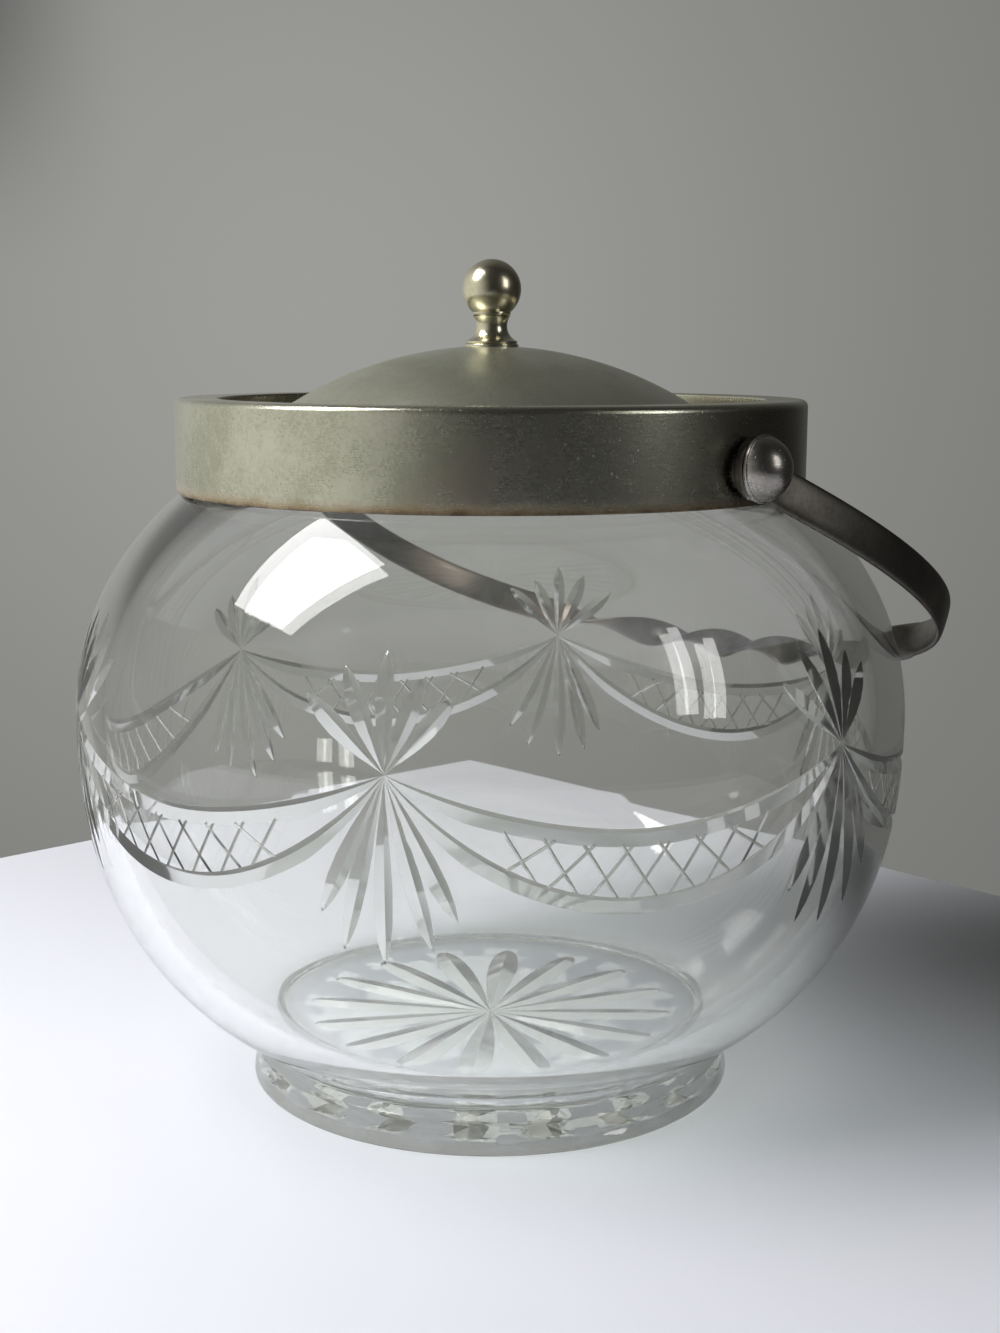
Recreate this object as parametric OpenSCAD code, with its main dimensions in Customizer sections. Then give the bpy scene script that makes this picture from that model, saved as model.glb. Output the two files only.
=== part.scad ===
// Cut-glass biscuit jar with a plated collar, a domed lift-off lid and a
// swing handle. Millimetres, +Z up. The origin is the centre of the foot's
// underside. The handle turns about a line along X, and hangs towards +Y.

/* [Bowl] */
// Widest diameter of the glass
bowl_d = 160.5; // [140:0.5:180]
// Height of the widest ring above the table
belly_h = 73.5; // [62:0.5:84]
// Fullness of the curve above the widest ring, 2 is an ellipse
crown_power = 2.09; // [1.9:0.01:2.6]
// Fullness of the curve below the widest ring
base_power = 2.33; // [2:0.01:2.8]
// Thickness of the blown wall, square to its surface
wall = 5.2; // [3:0.1:7]
// Height of the inner floor above the table
floor_h = 12; // [10:0.5:16]

/* [Foot] */
// Diameter of the foot where it meets the table
foot_d = 95.6; // [80:0.2:110]
// Height of the foot's side
foot_h = 6; // [3:0.25:9]
// How much narrower the foot is at the top of its side, on each side
foot_taper = 0.8; // [0.2:0.1:2]
// Radius that breaks the foot's ground edge
foot_edge = 0.8; // [0.2:0.1:1.5]
// Height from the top of the foot's side to the waist
waist_rise = 2; // [1:0.25:4]
// How far the waist lies inside the top of the foot's side
waist_inset = 2.9; // [1.5:0.1:5]

/* [Cut pattern] */
// Number of fans cut round the glass, with a swag between each two
fans = 6; // [4:1:7]
// Turn of the first fan from the front, anticlockwise
fan_turn = 31; // [0:1:59]
// Height of the fans' centres above the widest ring, measured along the glass
fan_rise = 4; // [-4:0.5:8]
// Length of the longest leaf above the centre of a fan
leaf_up = 19.2; // [12:0.2:21]
// Length of the longest leaf below the centre of a fan
leaf_down = 32.8; // [20:0.2:34]
// Greatest width of a leaf
leaf_w = 3.3; // [2:0.1:3.8]
// Depth of a leaf where it is widest
leaf_depth = 1.05; // [0.5:0.05:1.5]
// How far the upper groove of a swag hangs below the centres of the fans
swag_upper = 9; // [6:0.5:12]
// How far the lower groove of a swag hangs below the centres of the fans
swag_lower = 20.6; // [16:0.2:24]
// Width of a swag's grooves
groove_w = 3; // [2:0.1:3.6]
// Depth of a swag's grooves
groove_depth = 0.8; // [0.4:0.05:1.2]

/* [Neck] */
// Outer diameter of the glass neck inside the collar
neck_d = 114.8; // [100:0.2:118]
// Thickness of the neck
neck_wall = 4.6; // [3:0.1:6]
// Height at which the crown ends and the neck begins
shoulder_h = 117.8; // [110:0.2:126]

/* [Collar] */
// Outer diameter of the collar
collar_d = 120.6; // [119:0.2:126]
// Height of the collar's band
collar_h = 17.6; // [14:0.2:24]
// Thickness of the plated sheet
sheet = 0.8; // [0.5:0.05:1.2]
// Radius of the rolled upper edge
roll_r = 1.3; // [0.9:0.1:2.5]
// Radius that softens the inner edge of the flange
lip_r = 0.4; // [0.2:0.05:0.7]
// Gap between the glass and the lower edge of the band
skirt_gap = 0.3; // [0.1:0.05:1]
// Diameter of the recess that takes the lid
seat_d = 104.4; // [98:0.2:108]
// Depth of that recess below the flange
seat_depth = 4.2; // [2.5:0.1:6]
// Width of the ledge that the lid rests on
ledge_w = 2.7; // [1.5:0.1:4]
// Gap between the ledge and the glass rim below it
rim_gap = 0.3; // [0.1:0.05:1]
// Gap between the plaster and the round faces that it fills
bond_gap = 0.05; // [0.02:0.01:0.1]

/* [Lid] */
// Clearance round the lid's brim
brim_gap = 0.6; // [0.3:0.05:1.2]
// Clearance under the lid's brim
seat_gap = 0.1; // [0.05:0.05:0.3]
// Thickness of the lid's sheet
lid_sheet = 0.8; // [0.5:0.05:1.2]
// Rise from the brim to the flat land under the knob
lid_rise = 12.9; // [9:0.1:18]
// Radius of the dome
dome_r = 72.8; // [65:0.2:80]
// Radius of the hollow flare between dome and brim
flare_r = 20; // [10:0.5:24]
// Diameter of the flat land under the knob
land_d = 11; // [10.6:0.2:14]
// Height of the locating ring under the lid
bezel_h = 5; // [3:0.5:9]
// Clearance round the locating ring
bezel_gap = 0.5; // [0.3:0.05:1]

/* [Knob] */
// Diameter of the ball
ball_d = 11.3; // [8:0.1:15]
// Height of the ball's centre above its base ring
ball_rise = 10.3; // [9.4:0.1:14]
// Diameter of the knob's foot
knob_foot_d = 9.9; // [8:0.1:12]
// Height of the straight edge of the knob's foot
knob_foot_h = 0.5; // [0.3:0.05:1]
// Diameter of the knob's neck
knob_neck_d = 6; // [4.4:0.1:7]
// Height of the narrowest place above the base ring
knob_neck_rise = 3.4; // [2.8:0.1:4.4]
// Diameter of the bead under the ball
bead_d = 7.3; // [6:0.1:8]
// Half thickness of that bead
bead_r = 0.7; // [0.4:0.05:1]
// Height of the bead above the base ring
bead_rise = 5.8; // [5:0.1:6.4]
// Diameter of the base ring between knob and lid
base_ring_d = 10.4; // [9:0.1:10.6]
// Thickness of the base ring
base_ring_h = 0.6; // [0.3:0.05:1.2]
// Diameter of the knob's threaded stud
stud_d = 3; // [2:0.1:4]
// Radial clearance of the holes that the stud passes
stud_gap = 0.05; // [0.02:0.01:0.1]
// Diameter of the washer under the lid
washer_d = 8; // [6.5:0.1:9]
// Thickness of the washer under the lid
washer_h = 0.8; // [0.5:0.1:1.2]
// Width of the nut across its flats
nut_w = 5.5; // [5.4:0.1:7]
// Height of the nut
nut_h = 2.2; // [1.6:0.1:3]
// How far the stud stands out below the nut
stud_tail = 1; // [0.2:0.1:2]

/* [Pivots] */
// Height of the pivots above the lower edge of the collar
pivot_rise = 6.7; // [6.4:0.1:9.4]
// Diameter of the domed heads
head_d = 11.9; // [9:0.1:13]
// Thickness of the rim round the domed heads
head_rim = 0.9; // [0.5:0.1:1.5]
// How far the dome lies inside its rim
head_step = 0.3; // [0.1:0.05:0.6]
// Height of the dome on its rim
head_dome = 4.3; // [2.5:0.1:5]
// Diameter of the pivot shanks
shank_d = 4; // [3:0.1:5]
// Radial clearance of the handle on its shanks
pivot_gap = 0.06; // [0.02:0.01:0.1]
// Clearance on each side of the handle's eyes
side_gap = 0.3; // [0.2:0.05:0.6]
// Diameter of the bosses between collar and handle
boss_d = 9; // [7:0.2:11]
// How far the bosses stand out from the collar
boss_t = 0.7; // [0.4:0.1:2]
// Diameter of the burr washers inside the collar
burr_d = 7.2; // [6:0.2:8]
// Thickness of the burr washers
burr_t = 0.9; // [0.5:0.05:1]

/* [Handle] */
// Width of the strap
strap_w = 7.5; // [5:0.1:9]
// Thickness of the strap
strap_t = 1.5; // [1:0.1:2.2]
// Diameter of the eyes at the strap's ends
eye_d = 11; // [9:0.2:12]
// Thickness of the eyes
eye_t = 1.7; // [1.3:0.1:2.4]
// Gap between the glass and the edge of the hanging grip
rest_gap = 0.8; // [0.5:0.1:4]
// How far the curve that shapes the legs is pulled out past the glass
leg_spread = 7; // [4:0.1:16]
// How far before the grip that pull lies
leg_drop = 42; // [36:0.5:48]
// How far inside the glass's side the grip's corners are pulled
grip_tuck = 7.5; // [2:0.1:16]
// Straight pull where the legs leave the eyes
eye_pull = 5; // [3:0.5:10]
// Angle below the horizontal at which the handle hangs
hang_angle = 28; // [24:0.5:29]
// Number of half turns in the twisted grip
half_turns = 4; // [2:1:8]
// Length of the twisted grip
twist_len = 106; // [60:1:112]

/* [Hidden] */
$fn = 96;

// Steps along each curve of the glass, and along an arc of the metal
curve_steps = 32;
arc_steps = 12;
// Overshoot that carries a cut clear through a face
over = 1;
// Steps round a shape whose curve another piece is cut to
fine_steps = 360;

silver = [0.62, 0.61, 0.54];
gilt = [0.66, 0.60, 0.46];
clear_glass = [0.85, 0.92, 0.88, 0.4];

// Glass
bowl_r = bowl_d / 2;
foot_r = foot_d / 2;
foot_top_r = foot_r - foot_taper;
waist_r = foot_top_r - waist_inset;
waist_h = foot_h + waist_rise;
neck_r = neck_d / 2;
neck_in_r = neck_r - neck_wall;
crown_rise = (shoulder_h - belly_h) / pow(1 - pow(neck_r / bowl_r, crown_power), 1 / crown_power);
base_drop = (belly_h - waist_h) / pow(1 - pow(waist_r / bowl_r, base_power), 1 / base_power);

// Cut pattern. Leaves of a fan: [angle from upright or from straight down, share of the longest]
leaves_up = [[-49, 0.97], [-25, 0.96], [-2, 1], [21, 0.85], [42, 0.87]];
leaves_down = [[-25.5, 0.82], [-13.8, 0.93], [1.7, 1], [14.8, 0.96], [25.7, 0.8]];
// A leaf widens from its centre as this power, and narrows to its tip as that
leaf_root = 1.4;
leaf_tip = 0.8;
leaf_peak = leaf_root / (leaf_root + leaf_tip);
leaf_stations = [0, 0.3, leaf_peak, 0.86, 1];
// Powers of the curves in which a swag's grooves hang, and of their narrowing at the fans
upper_power = 1.75;
lower_power = 2.05;
taper_power = 0.6;
taper_len = 13;
swag_half = PI * bowl_r / fans;
swag_steps = 12;
// How far the cutters stand out of the glass, and how far their valleys do at the ends
cut_over = 0.5;
cut_lift = 0.05;

// Collar
collar_r = collar_d / 2;
collar_in_r = collar_r - sheet;
collar_z = crown_height(collar_in_r - skirt_gap);
flange_z = collar_z + collar_h;
seat_r = seat_d / 2;
seat_z = flange_z - seat_depth;
ledge_r = seat_r - ledge_w;
neck_top = seat_z - sheet - rim_gap;

// Lid
brim_r = seat_r - brim_gap;
brim_z = seat_z + seat_gap;
brim_top = brim_z + lid_sheet;
land_z = brim_top + lid_rise;
land_r = land_d / 2;
dome_z = land_z - sqrt(pow(dome_r, 2) - pow(land_r, 2));
flare_z = brim_top + flare_r;
flare_x = sqrt(pow(dome_r + flare_r, 2) - pow(flare_z - dome_z, 2));
flare_angle = atan2(flare_z - dome_z, flare_x);
bezel_r = ledge_r - bezel_gap;

// Knob
stud_r = stud_d / 2;
stud_hole_r = stud_r + stud_gap;
base_z = land_z + base_ring_h;
under_z = land_z - lid_sheet;
nut_top = under_z - washer_h;
nut_z = nut_top - nut_h;
// Centre and radius of the hollow curve between the knob's foot and its neck
hollow_drop = knob_neck_rise - knob_foot_h;
hollow_x = (pow(knob_foot_d / 2, 2) - pow(knob_neck_d / 2, 2) + pow(hollow_drop, 2))
         / (knob_foot_d - knob_neck_d);
hollow_r = hollow_x - knob_neck_d / 2;

// Pivots and handle
pivot_z = collar_z + pivot_rise;
shank_r = shank_d / 2;
shank_hole_r = shank_r + stud_gap;
boss_x = collar_r + boss_t;
eye_x = boss_x + side_gap;
head_x = eye_x + eye_t + side_gap;
strap_x = eye_x + eye_t / 2;
leg_start = head_d / 2 + side_gap;
handle_reach = (bowl_r + rest_gap + strap_w / 2) / cos(hang_angle);
burr_r = burr_d / 2;
// The burr is flat, so its rim is what meets the round inside of the band
burr_x = sqrt(pow(collar_in_r, 2) - pow(burr_r, 2)) - bond_gap - burr_t;
leg_steps = 44;

// Radius and height on the superellipse above the widest ring
function crown_radius(z) =
    bowl_r * pow(1 - pow(min(1, (z - belly_h) / crown_rise), crown_power), 1 / crown_power);
function crown_height(r) =
    belly_h + crown_rise * pow(1 - pow(r / bowl_r, crown_power), 1 / crown_power);

// A superellipse's point at angle a, moved inwards by t square to the curve.
// side is 1 above the widest ring and -1 below it.
function glass_point(a, rise, power, side, t) =
    let (r = bowl_r * pow(cos(a), 2 / power),
         h = rise * pow(sin(a), 2 / power),
         nr = pow(r / bowl_r, power - 1) / bowl_r,
         nh = pow(h / rise, power - 1) / rise,
         n = norm([nr, nh]))
    [r - t * nr / n, belly_h + side * (h - t * nh / n)];

// The angle at which a superellipse has the radius r
function angle_at(r, power) = acos(pow(r / bowl_r, power / 2));

// An arc's points about c, from angle a to angle b
function arc(c, r, a, b, n = arc_steps) =
    [for (i = [0:n]) let (t = a + (b - a) * i / n) [c[0] + r * cos(t), c[1] + r * sin(t)]];

// Outside of the glass, from the foot's ground edge to the top of the neck
glass_outer = concat(
    arc([foot_r - foot_edge, foot_edge], foot_edge, -90, 0, 6),
    [[foot_top_r, foot_h]],
    [for (i = [0:curve_steps])
        glass_point(angle_at(waist_r, base_power) * (1 - i / curve_steps), base_drop, base_power, -1, 0)],
    [for (i = [1:curve_steps])
        glass_point(angle_at(neck_r, crown_power) * i / curve_steps, crown_rise, crown_power, 1, 0)],
    [[neck_r, neck_top]]);

// Inside of the glass, from the middle of the floor to the top of the neck
inner_curve = concat(
    [for (i = [0:curve_steps])
        glass_point(angle_at(waist_r / 2, base_power) * (1 - i / curve_steps), base_drop, base_power, -1, wall)],
    [for (i = [1:curve_steps])
        glass_point(angle_at(neck_in_r, crown_power) * i / curve_steps, crown_rise, crown_power, 1, wall)]);
glass_inner = concat(
    [[0, floor_h]],
    [let (k = [for (i = [0:len(inner_curve) - 1]) if (inner_curve[i][1] > floor_h) i][0],
          a = inner_curve[k - 1], b = inner_curve[k])
        [a[0] + (b[0] - a[0]) * (floor_h - a[1]) / (b[1] - a[1]), floor_h]],
    [for (p = inner_curve) if (p[1] > floor_h && (p[1] < belly_h || p[0] > neck_in_r)) p],
    [[neck_in_r, shoulder_h], [neck_in_r, neck_top]]);

// A point of the outside, x round the glass and y up along it from the centre
// of a fan, lifted out square to the glass
function cut_point(fan, x, y, lift) =
    let (h = bowl_r * sin((y + fan_rise) / bowl_r * 180 / PI),
         rise = h > 0 ? crown_rise : base_drop,
         power = h > 0 ? crown_power : base_power,
         r = bowl_r * pow(1 - pow(abs(h) / rise, power), 1 / power),
         nr = pow(r / bowl_r, power - 1) / bowl_r,
         nz = sign(h) * pow(abs(h) / rise, power - 1) / rise,
         n = norm([nr, nz]),
         out = r + lift * nr / n,
         a = fan_turn + fan * 360 / fans + x / bowl_r * 180 / PI)
    [out * sin(a), -out * cos(a), belly_h + h + lift * nz / n];

// Depth of a cut at a share of its full depth, which comes out of the glass at its ends
function cut_depth(full, share) =
    (full + cut_lift) * share - cut_lift;

// Share of a leaf's greatest width at u, its share of the length from the centre
function leaf_share(u) =
    pow(u / leaf_peak, leaf_root) * pow((1 - u) / (1 - leaf_peak), leaf_tip);

// A swag's upper edge at x from the fan: [height, steepness]
function swag_edge(x, drop, power) =
    let (m = 1 - min(x, swag_half * 2 - x) / swag_half)
    [-drop * (1 - pow(m, power)), norm([1, drop * power * pow(m, power - 1) / swag_half])];

// A V-shaped cutter along the glass, through stations of [valley, left side, right side]
module cutter(stations) {
    last = 3 * (len(stations) - 1);
    polyhedron(
        [for (s = stations) each s],
        concat([[0, 1, 2]],
               [for (i = [0:3:last - 1], j = [0:2])
                   let (a = i + j, b = i + (j + 1) % 3)
                   each [[b, a, a + 3], [b, a + 3, b + 3]]],
               [[last + 2, last + 1, last]]));
}

// A leaf from the centre of a fan, at an angle from upright
module leaf_cut(fan, angle, length) {
    cutter([for (u = leaf_stations)
        let (depth = cut_depth(leaf_depth, leaf_share(u)),
             x = u * length * sin(angle),
             y = u * length * cos(angle),
             w = (depth + cut_over) * leaf_w / 2 / leaf_depth)
        [cut_point(fan, x, y, -depth),
         cut_point(fan, x - w * cos(angle), y + w * sin(angle), cut_over),
         cut_point(fan, x + w * cos(angle), y - w * sin(angle), cut_over)]]);
}

// One groove of the swag from a fan to the next. Its valley lies a third of the way
// down, so it is steep above.
module swag_cut(fan, drop, power) {
    cutter([for (i = [0:swag_steps])
        let (x = 2 * swag_half * i / swag_steps,
             edge = swag_edge(x, drop, power),
             taper = pow(min(1, min(x, 2 * swag_half - x) / taper_len), taper_power),
             depth = cut_depth(groove_depth, taper),
             valley = edge[0] - groove_w * taper / 3 * edge[1],
             w = (depth + cut_over) * groove_w / 3 / groove_depth * edge[1])
        [cut_point(fan, x, valley, -depth),
         cut_point(fan, x, valley + w, cut_over),
         cut_point(fan, x, valley - 2 * w, cut_over)]]);
}

// A ring of square section between two radii and two heights
module ring(inner, outer, low, high) {
    rotate_extrude()
        translate([inner, low]) square([outer - inner, high - low]);
}

// A cylinder along X from x to x + length, on the pivots' line
module pivot_rod(r, x, length) {
    translate([x, 0, pivot_z]) rotate([0, 90, 0]) cylinder(r = r, h = length);
}

// The same shape at the left and at the right pivot
module at_side(side) {
    if (side > 0) children();
    else mirror([1, 0, 0]) children();
}

module glass_bowl() {
    color(clear_glass)
    difference() {
        rotate_extrude()
            polygon(concat(
                [[0, 0]],
                glass_outer,
                [for (i = [len(glass_inner) - 1:-1:0]) glass_inner[i]]));
        for (fan = [0:fans - 1], leaf = leaves_up)
            leaf_cut(fan, leaf[0], leaf_up * leaf[1]);
        for (fan = [0:fans - 1], leaf = leaves_down)
            leaf_cut(fan, 180 + leaf[0], leaf_down * leaf[1]);
        for (fan = [0:fans - 1])
            swag_cut(fan, swag_upper, upper_power);
        for (fan = [0:fans - 1])
            swag_cut(fan, swag_lower, lower_power);
    }
}

// Plaster that fills the collar round the neck and on the rim
module plaster_bed() {
    color("gainsboro")
    difference() {
        rotate_extrude()
            polygon([
                [neck_r + bond_gap, shoulder_h],
                [collar_in_r - bond_gap, shoulder_h],
                [collar_in_r - bond_gap, flange_z - roll_r],
                [collar_r - roll_r, flange_z - sheet],
                [seat_r + sheet + bond_gap, flange_z - sheet],
                [seat_r + sheet + bond_gap, neck_top],
                [neck_r + bond_gap, neck_top]]);
        for (side = [-1, 1])
            at_side(side) pivot_rod(burr_r + bond_gap, burr_x - bond_gap - over / 2, burr_t + over * 2);
    }
}

// Spun band with its rolled edge, its flange and the sunk ledge for the lid
module rim_collar() {
    color(silver)
    difference() {
        rotate_extrude()
            polygon(concat(
                [[collar_in_r, collar_z], [collar_r, collar_z]],
                arc([collar_r - roll_r, flange_z - roll_r], roll_r, 0, 90),
                arc([seat_r + lip_r, flange_z - lip_r], lip_r, 90, 180, 4),
                [[seat_r, seat_z], [ledge_r, seat_z], [ledge_r, seat_z - sheet],
                 [seat_r + sheet, seat_z - sheet], [seat_r + sheet, flange_z - sheet]],
                arc([collar_r - roll_r, flange_z - roll_r], roll_r - sheet, 90, 0, 6)));
        for (side = [-1, 1])
            at_side(side) pivot_rod(shank_hole_r, collar_in_r - over, sheet + over * 2);
    }
}

// Boss soldered to the band, hollowed to sit on its curve
module pivot_boss(side) {
    color(silver)
    at_side(side)
    difference() {
        pivot_rod(boss_d / 2, collar_in_r, boss_x - collar_in_r);
        translate([0, 0, collar_z]) cylinder(r = collar_r, h = collar_h, $fn = fine_steps);
        pivot_rod(shank_hole_r, collar_in_r - over, boss_x - collar_in_r + over * 2);
    }
}

// Turned stud: a domed head on a rim, and the shank that the handle turns on
module pivot_stud(side) {
    dome_foot = head_d / 2 - head_step;
    cap_r = (pow(dome_foot, 2) + pow(head_dome, 2)) / (2 * head_dome);
    color(silver)
    at_side(side)
    translate([burr_x, 0, pivot_z]) rotate([0, 90, 0]) union() {
        cylinder(r = shank_r, h = head_x - burr_x + head_rim / 2);
        translate([0, 0, head_x - burr_x])
        rotate_extrude()
            union() {
                square([head_d / 2, head_rim]);
                intersection() {
                    translate([0, head_rim + head_dome - cap_r]) circle(r = cap_r);
                    square([head_d, head_rim + head_dome + over]);
                }
            }
    }
}

// Washer over which the shank is riveted inside the band
module stud_burr(side) {
    color(silver)
    at_side(side)
    difference() {
        pivot_rod(burr_r, burr_x, burr_t);
        pivot_rod(shank_hole_r, burr_x - over, burr_t + over * 2);
    }
}

// Middle line of the strap, straight past the stud's head and then a Bezier
// curve to the middle of the grip (t = 1), in the plane that the handle swings
function leg_point(t) =
    let (s = 1 - t)
    pow(s, 4) * [strap_x, leg_start] + 4 * pow(s, 3) * t * [strap_x, leg_start + eye_pull]
    + 6 * pow(s * t, 2) * [bowl_r + leg_spread, handle_reach - leg_drop]
    + 4 * s * pow(t, 3) * [bowl_r - grip_tuck, handle_reach] + pow(t, 4) * [0, handle_reach];

// The same line from the right eye (s = -1) to the left eye (s = 1)
function strap_point(s) =
    let (p = leg_point(1 - abs(s))) [-sign(s) * p[0], p[1]];

// Twist of the strap at x along the grip
function strap_twist(x) = 180 * half_turns * min(1, max(0, 0.5 - x / twist_len));

// The four corners of the strap's section at s, turned by its twist
function strap_corners(s) =
    let (d = 0.002,
         p = strap_point(s),
         t = strap_point(min(1, s + d)) - strap_point(max(-1, s - d)),
         n = [-t[1], t[0]] / norm(t),
         a = strap_twist(p[0]),
         w = strap_w / 2 * [n[0] * sin(a), n[1] * sin(a), cos(a)],
         q = strap_t / 2 * [n[0] * cos(a), n[1] * cos(a), -sin(a)],
         c = [p[0], p[1], 0])
    [c + w + q, c + w - q, c - w - q, c - w + q];

// Strap handle with a twisted grip and an eye at each end, in one piece
module swing_handle() {
    rings = 2 * leg_steps;
    points = [for (i = [0:rings]) each strap_corners(i / leg_steps - 1)];
    walls = [for (i = [0:rings - 1], j = [0:3])
        let (a = 4 * i + j, b = 4 * i + (j + 1) % 4)
        each [[b, a, a + 4], [b, a + 4, b + 4]]];
    ends = [[0, 1, 2, 3], [for (j = [3:-1:0]) 4 * rings + j]];
    color(silver)
    translate([0, 0, pivot_z]) rotate([-hang_angle, 0, 0])
    difference() {
        union() {
            polyhedron(points, concat(walls, ends));
            for (x = [strap_x, -strap_x])
                translate([x - strap_t / 2, 0, -strap_w / 2]) cube([strap_t, leg_start, strap_w]);
            for (x = [eye_x, -eye_x - eye_t])
                translate([x, 0, 0]) rotate([0, 90, 0]) cylinder(d = eye_d, h = eye_t);
        }
        for (x = [eye_x, -eye_x - eye_t])
            translate([x - over, 0, 0]) rotate([0, 90, 0])
                cylinder(r = shank_r + pivot_gap, h = eye_t + over * 2);
    }
}

// Spun lid: a flat land, a dome, a hollow flare and a flat brim
module lid_dome() {
    color(silver)
    difference() {
        rotate_extrude()
            polygon(concat(
                [[0, land_z]],
                arc([0, dome_z], dome_r, acos(land_r / dome_r), flare_angle, 24),
                arc([flare_x, flare_z], flare_r, flare_angle + 180, 270),
                [[brim_r, brim_top], [brim_r, brim_z]],
                arc([flare_x, flare_z], flare_r + lid_sheet, 270, flare_angle + 180),
                arc([0, dome_z], dome_r - lid_sheet, flare_angle,
                    asin((under_z - dome_z) / (dome_r - lid_sheet)), 24),
                [[0, under_z]]));
        cylinder(r = stud_hole_r, h = land_z + over);
    }
}

// Ring soldered under the brim, which centres the lid in the ledge
module lid_bezel() {
    color(silver) ring(bezel_r - lid_sheet, bezel_r, brim_z - bezel_h, brim_z);
}

module knob_base_ring() {
    color(gilt) ring(stud_hole_r, base_ring_d / 2, land_z, base_z);
}

// Turned knob with its foot, hollow neck, bead and ball, and the stud below
module knob() {
    color(gilt)
    union() {
        translate([0, 0, base_z])
        rotate_extrude()
            intersection() {
                union() {
                    polygon(concat(
                        [[0, 0], [knob_foot_d / 2, 0]],
                        arc([hollow_x, knob_neck_rise], hollow_r,
                            180 + asin(hollow_drop / hollow_r),
                            180 - asin((bead_rise - knob_neck_rise) / hollow_r)),
                        [[0, bead_rise]]));
                    translate([bead_d / 2 - bead_r, bead_rise]) circle(r = bead_r);
                    translate([0, bead_rise - bead_r])
                        square([bead_d / 2 - bead_r, bead_r * 2]);
                    translate([0, ball_rise]) circle(d = ball_d);
                }
                square([knob_foot_d + ball_d, ball_rise + ball_d]);
            }
        translate([0, 0, nut_z - stud_tail])
            cylinder(r = stud_r, h = base_z + knob_foot_h / 2 - nut_z + stud_tail);
    }
}

module knob_washer() {
    color(silver) ring(stud_hole_r, washer_d / 2, nut_top, under_z);
}

module knob_nut() {
    color(gilt)
    difference() {
        translate([0, 0, nut_z]) cylinder(d = nut_w / cos(30), h = nut_h, $fn = 6);
        translate([0, 0, nut_z - over]) cylinder(r = stud_hole_r, h = nut_h + over * 2);
    }
}

glass_bowl();
plaster_bed();
rim_collar();
pivot_boss(-1);  // pivot_boss_left
pivot_boss(1);  // pivot_boss_right
pivot_stud(-1);  // pivot_stud_left
pivot_stud(1);  // pivot_stud_right
stud_burr(-1);  // stud_burr_left
stud_burr(1);  // stud_burr_right
swing_handle();
lid_dome();
lid_bezel();
knob_base_ring();
knob();
knob_washer();
knob_nut();
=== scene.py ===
"""The finish of a cut-glass biscuit jar with a silver-plated rim, lid and swing handle."""

import math

import bpy
import numpy as np
from mathutils import Matrix, Vector
from mathutils.geometry import delaunay_2d_cdt


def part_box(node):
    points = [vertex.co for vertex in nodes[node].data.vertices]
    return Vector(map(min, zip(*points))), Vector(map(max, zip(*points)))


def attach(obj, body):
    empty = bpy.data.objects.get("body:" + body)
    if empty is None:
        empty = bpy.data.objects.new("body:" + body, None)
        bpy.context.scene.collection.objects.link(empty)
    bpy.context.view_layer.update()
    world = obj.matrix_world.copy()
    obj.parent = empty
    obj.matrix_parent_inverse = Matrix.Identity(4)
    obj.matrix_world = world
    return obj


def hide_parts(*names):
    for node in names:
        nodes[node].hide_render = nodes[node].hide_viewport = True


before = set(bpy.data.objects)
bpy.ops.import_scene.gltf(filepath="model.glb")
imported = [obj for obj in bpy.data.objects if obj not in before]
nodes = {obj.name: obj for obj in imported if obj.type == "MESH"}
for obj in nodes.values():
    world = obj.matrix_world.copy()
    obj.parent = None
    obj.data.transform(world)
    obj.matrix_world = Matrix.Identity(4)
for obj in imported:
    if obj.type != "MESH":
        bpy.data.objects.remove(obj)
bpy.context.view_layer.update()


# --- Camera ---------------------------------------------------------------------------------
# The jar is seen from close by, a little from above, with its right pivot turned to the viewer.
# Directions below are given to the viewer's right, away from the viewer, and up.
VIEW_AZIMUTH = math.radians(43)
RIGHT = Vector((math.cos(VIEW_AZIMUTH), math.sin(VIEW_AZIMUTH), 0))
AWAY = Vector((-math.sin(VIEW_AZIMUTH), math.cos(VIEW_AZIMUTH), 0))
UP = Vector((0, 0, 1))


def seen(right, away, up):
    """The point that lies so far to the right, away and up, as the viewer sees it, in metres."""
    return RIGHT * right + AWAY * away + UP * up


camera_distance = 0.360
camera_height = 0.1429
pitch, yaw, roll = 0.1693, 0.0050, 0.0028

forward = seen(math.sin(yaw) * math.cos(pitch), math.cos(yaw) * math.cos(pitch), -math.sin(pitch))
level = seen(math.cos(yaw), -math.sin(yaw), 0)
above = level.cross(forward)
across = level * math.cos(roll) + above * math.sin(roll)
upright = above * math.cos(roll) - level * math.sin(roll)

camera_data = bpy.data.cameras.new("camera")
camera_data.lens = 49.91
camera_data.sensor_width = 36
camera_data.clip_start = 0.01
camera = bpy.data.objects.new("camera", camera_data)
camera.matrix_world = (Matrix.Translation(seen(0, -camera_distance, camera_height))
                       @ Matrix((across, upright, -forward)).transposed().to_4x4())
bpy.context.scene.collection.objects.link(camera)
bpy.context.scene.camera = camera
bpy.context.scene.view_settings.view_transform = "Standard"


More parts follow.
